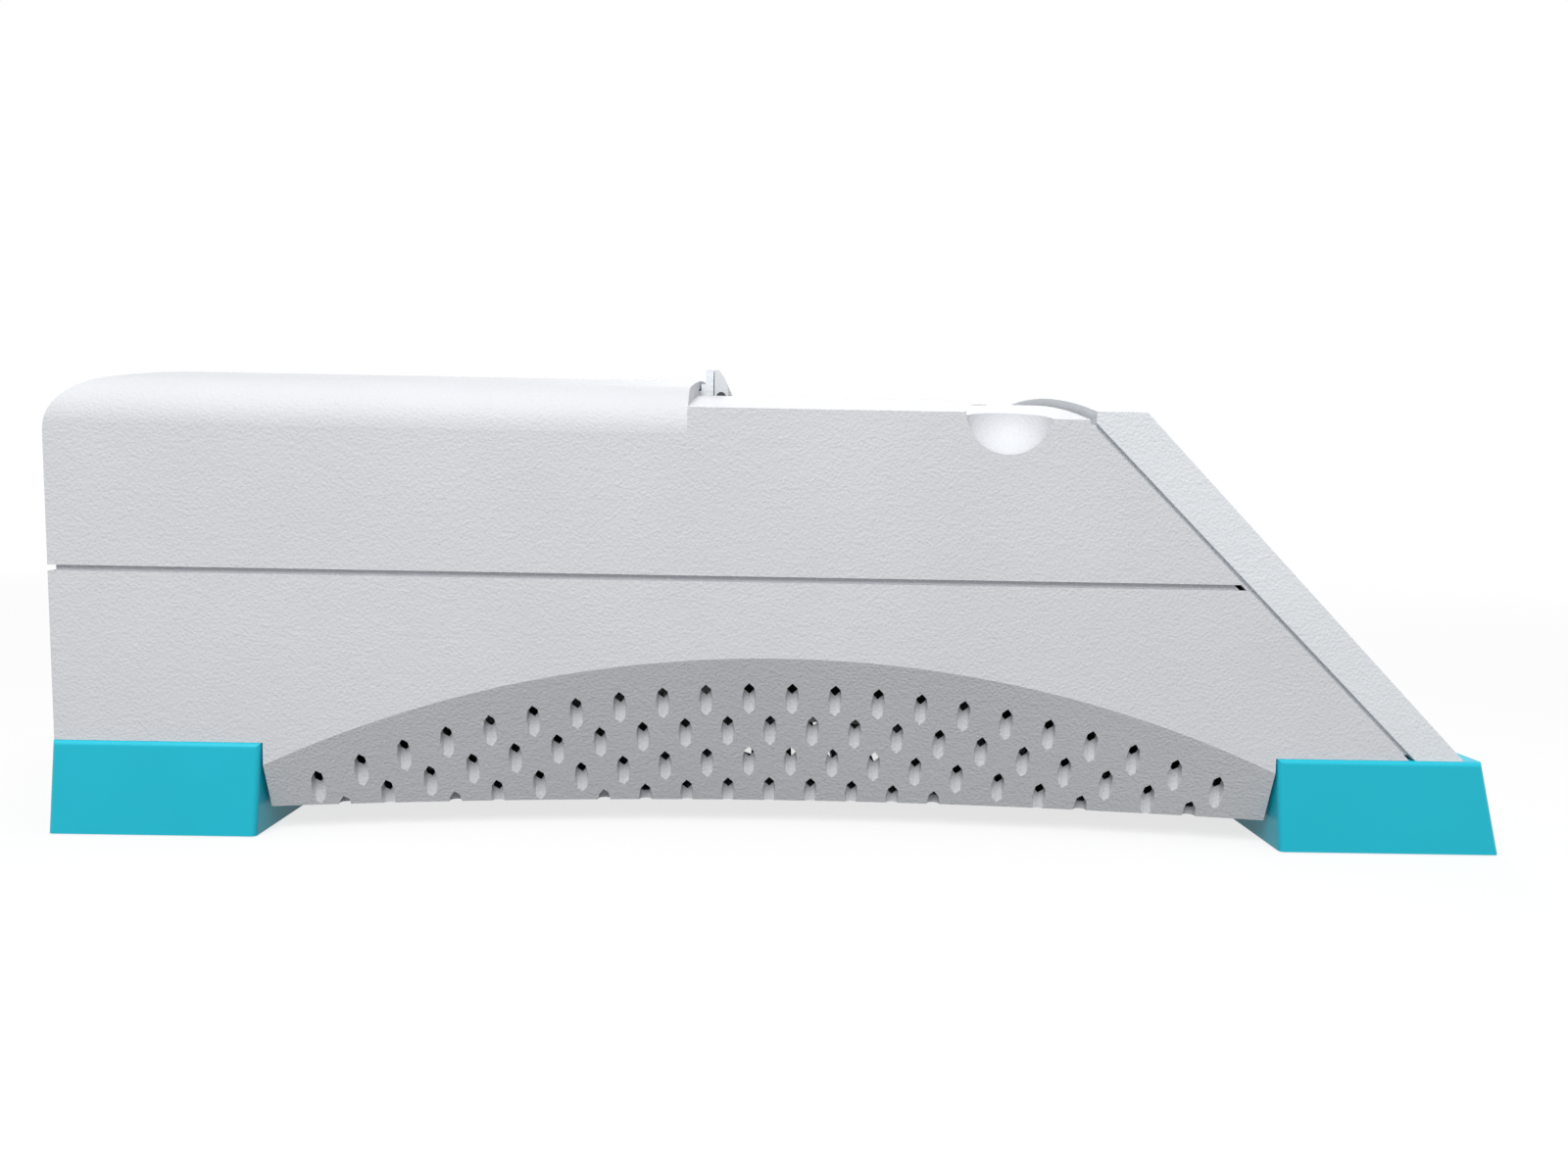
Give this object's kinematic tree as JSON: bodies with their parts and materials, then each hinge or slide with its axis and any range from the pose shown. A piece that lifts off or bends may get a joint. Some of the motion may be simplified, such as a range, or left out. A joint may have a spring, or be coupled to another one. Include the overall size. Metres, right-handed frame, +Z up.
{
  "type": "thermal cycler",
  "caption": "Bench thermal cycler: low two-shell housing with arched vented sides, sliding heated cover with a fold-down lever, sample block, sloped control panel and corner feet.",
  "frame": {"origin": "centre of the outer dimensions at table height", "axes": "+X towards the control panel, +Z up, +Y to the left as seen from above with +X pointing away"},
  "size_m": [0.445, 0.24, 0.1494],
  "materials": {
    "housing_plastic": "fine moulded texture",
    "bezel_plastic": "fine moulded texture",
    "foot_plastic": "smooth satin",
    "pad_rubber": "matte",
    "screw_steel": "zinc plated",
    "sheet_steel": "zinc coated sheet",
    "bright_steel": "ground",
    "block_aluminium": "machined",
    "sink_aluminium": "extruded",
    "heater_silicone": "matte",
    "module_ceramic": "ground",
    "cover_plastic": "fine moulded texture",
    "lever_plastic": "fine moulded texture",
    "pin_steel": "blackened",
    "fan_plastic": "satin",
    "board_laminate": "solder mask",
    "fitting_plastic": "satin",
    "port_steel": "tin plated",
    "display_glass": "clear",
    "lcd_frame": "smooth",
    "key_plastic": "satin"
  },
  "bodies": {
    "housing": {"lower_housing": "housing_plastic", "upper_housing": "housing_plastic", "front_bezel": "bezel_plastic", "foot_front_left": "foot_plastic", "foot_front_right": "foot_plastic", "foot_rear_left": "foot_plastic", "foot_rear_right": "foot_plastic", "foot_pads": "pad_rubber", "block_seal": "pad_rubber", "foot_screws": "screw_steel", "chassis_screws": "screw_steel", "chassis_plate": "sheet_steel", "sink_bracket_front": "sheet_steel", "sink_bracket_rear": "sheet_steel", "supply_case": "sheet_steel", "cover_rail_left": "bright_steel", "cover_rail_right": "bright_steel", "board_standoffs": "bright_steel", "sample_block": "block_aluminium", "heat_sink": "sink_aluminium", "peltier_modules": "module_ceramic", "fan_frame_left": "fan_plastic", "fan_frame_right": "fan_plastic", "supply_board": "board_laminate", "main_board": "board_laminate", "key_board": "board_laminate", "power_inlet": "fitting_plastic", "switch_body": "fitting_plastic", "serial_port": "port_steel", "display_window": "display_glass", "lcd_module": "lcd_frame"},
    "cover": {"cover_carriage": "cover_plastic", "cover_end_cap": "cover_plastic", "platen_guides": "bright_steel"},
    "lever": {"lever_bar": "lever_plastic", "lever_pin": "pin_steel"},
    "platen": {"heated_platen": "block_aluminium", "heater_mat": "heater_silicone"},
    "fan_left": {"fan_rotor_left": "fan_plastic"},
    "fan_right": {"fan_rotor_right": "fan_plastic"},
    "rocker": {"switch_rocker": "fitting_plastic"},
    "fuse_holder": {"fuse_drawer": "fitting_plastic"},
    "key_0_cap": {"key_0": "key_plastic"},
    "key_1_cap": {"key_1": "key_plastic"},
    "key_2_cap": {"key_2": "key_plastic"},
    "key_3_cap": {"key_3": "key_plastic"},
    "key_4_cap": {"key_4": "key_plastic"},
    "key_5_cap": {"key_5": "key_plastic"},
    "key_6_cap": {"key_6": "key_plastic"},
    "key_7_cap": {"key_7": "key_plastic"},
    "key_8_cap": {"key_8": "key_plastic"},
    "key_9_cap": {"key_9": "key_plastic"},
    "key_stop_cap": {"key_stop": "key_plastic"},
    "key_enter_cap": {"key_enter": "key_plastic"},
    "key_up_cap": {"key_up": "key_plastic"},
    "key_down_cap": {"key_down": "key_plastic"},
    "key_left_cap": {"key_left": "key_plastic"},
    "key_right_cap": {"key_right": "key_plastic"}
  },
  "joints": [
    {"name": "cover_slide", "type": "slide", "parent": "housing", "child": "cover", "axis": [1, 0, 0], "range_m": [0, 0.0785]},
    {"name": "lever_fold", "type": "hinge", "parent": "cover", "child": "lever", "pos_m": [-0.02185, 0, 0.1402], "axis": [0, 1, 0], "range_deg": [0, 90]},
    {"name": "platen_drop", "type": "slide", "parent": "cover", "child": "platen", "axis": [0, 0, -1], "range_m": [0, 0.003]},
    {"name": "fan_left_spin", "type": "hinge", "parent": "housing", "child": "fan_left", "pos_m": [0.0175, 0.041, 0.045], "axis": [0, 0, 1], "continuous": true},
    {"name": "fan_right_spin", "type": "hinge", "parent": "housing", "child": "fan_right", "pos_m": [0.0175, -0.041, 0.045], "axis": [0, 0, 1], "continuous": true},
    {"name": "rocker_tilt", "type": "hinge", "parent": "housing", "child": "rocker", "pos_m": [-0.217, -0.004, 0.058], "axis": [0, 1, 0], "range_deg": [0, 16]},
    {"name": "fuse_pull", "type": "slide", "parent": "housing", "child": "fuse_holder", "axis": [-1, 0, 0], "range_m": [0, 0.016]},
    {"name": "key_0_press", "type": "slide", "parent": "housing", "child": "key_0_cap", "axis": [-0.7143, 0, -0.6999], "range_m": [0, 0.0015], "stiffness_N_per_m": 500},
    {"name": "key_1_press", "type": "slide", "parent": "housing", "child": "key_1_cap", "axis": [-0.7143, 0, -0.6999], "range_m": [0, 0.0015], "stiffness_N_per_m": 500},
    {"name": "key_2_press", "type": "slide", "parent": "housing", "child": "key_2_cap", "axis": [-0.7143, 0, -0.6999], "range_m": [0, 0.0015], "stiffness_N_per_m": 500},
    {"name": "key_3_press", "type": "slide", "parent": "housing", "child": "key_3_cap", "axis": [-0.7143, 0, -0.6999], "range_m": [0, 0.0015], "stiffness_N_per_m": 500},
    {"name": "key_4_press", "type": "slide", "parent": "housing", "child": "key_4_cap", "axis": [-0.7143, 0, -0.6999], "range_m": [0, 0.0015], "stiffness_N_per_m": 500},
    {"name": "key_5_press", "type": "slide", "parent": "housing", "child": "key_5_cap", "axis": [-0.7143, 0, -0.6999], "range_m": [0, 0.0015], "stiffness_N_per_m": 500},
    {"name": "key_6_press", "type": "slide", "parent": "housing", "child": "key_6_cap", "axis": [-0.7143, 0, -0.6999], "range_m": [0, 0.0015], "stiffness_N_per_m": 500},
    {"name": "key_7_press", "type": "slide", "parent": "housing", "child": "key_7_cap", "axis": [-0.7143, 0, -0.6999], "range_m": [0, 0.0015], "stiffness_N_per_m": 500},
    {"name": "key_8_press", "type": "slide", "parent": "housing", "child": "key_8_cap", "axis": [-0.7143, 0, -0.6999], "range_m": [0, 0.0015], "stiffness_N_per_m": 500},
    {"name": "key_9_press", "type": "slide", "parent": "housing", "child": "key_9_cap", "axis": [-0.7143, 0, -0.6999], "range_m": [0, 0.0015], "stiffness_N_per_m": 500},
    {"name": "key_stop_press", "type": "slide", "parent": "housing", "child": "key_stop_cap", "axis": [-0.7143, 0, -0.6999], "range_m": [0, 0.0015], "stiffness_N_per_m": 500},
    {"name": "key_enter_press", "type": "slide", "parent": "housing", "child": "key_enter_cap", "axis": [-0.7143, 0, -0.6999], "range_m": [0, 0.0015], "stiffness_N_per_m": 500},
    {"name": "key_up_press", "type": "slide", "parent": "housing", "child": "key_up_cap", "axis": [-0.7143, 0, -0.6999], "range_m": [0, 0.0015], "stiffness_N_per_m": 500},
    {"name": "key_down_press", "type": "slide", "parent": "housing", "child": "key_down_cap", "axis": [-0.7143, 0, -0.6999], "range_m": [0, 0.0015], "stiffness_N_per_m": 500},
    {"name": "key_left_press", "type": "slide", "parent": "housing", "child": "key_left_cap", "axis": [-0.7143, 0, -0.6999], "range_m": [0, 0.0015], "stiffness_N_per_m": 500},
    {"name": "key_right_press", "type": "slide", "parent": "housing", "child": "key_right_cap", "axis": [-0.7143, 0, -0.6999], "range_m": [0, 0.0015], "stiffness_N_per_m": 500}
  ],
  "couplings": [
    {"joint": "lever_fold", "follows": "platen_drop", "rad_per_m": 523.59}
  ]
}
